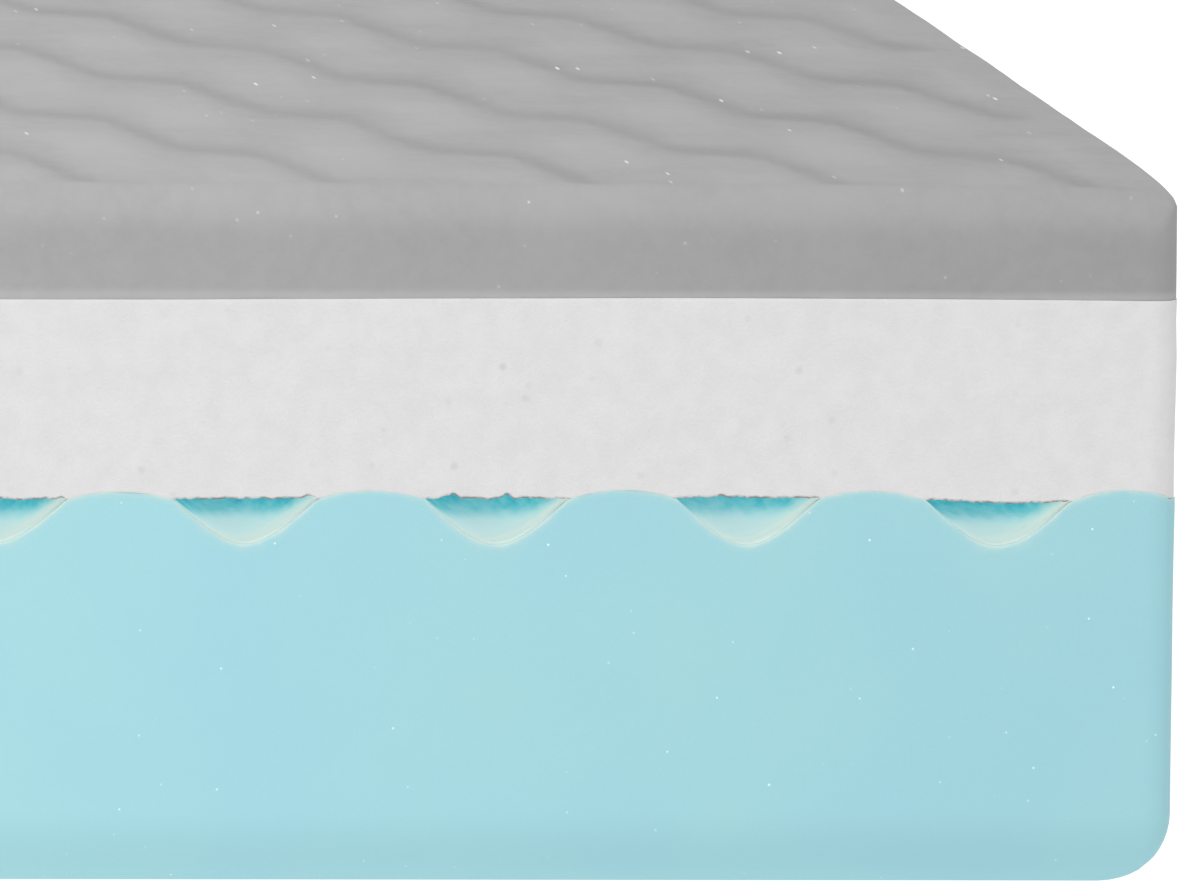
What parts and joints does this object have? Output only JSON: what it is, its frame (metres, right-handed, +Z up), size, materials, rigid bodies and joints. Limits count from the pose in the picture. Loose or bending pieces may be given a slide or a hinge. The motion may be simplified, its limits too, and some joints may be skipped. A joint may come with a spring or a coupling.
{
  "type": "memory foam mattress",
  "caption": "Bare core of a three-layer foam mattress: rounded memory foam top, flat comfort layer and a wave-cut support base with open air channels.",
  "frame": {"origin": "middle of the flat underside, on the surface that the mattress lies on", "axes": "+X across the width, +Y along the length, +Z up through the layers"},
  "size_m": [1.5, 2, 0.254],
  "materials": {
    "base_foam": "matte",
    "comfort_foam": "matte",
    "memory_foam": "matte",
    "adhesive": "satin"
  },
  "bodies": {
    "root": {"support_base_foam": "base_foam", "lower_adhesive_strips": "adhesive", "comfort_foam": "comfort_foam", "upper_adhesive_film": "adhesive", "top_memory_foam": "memory_foam"}
  },
  "joints": []
}
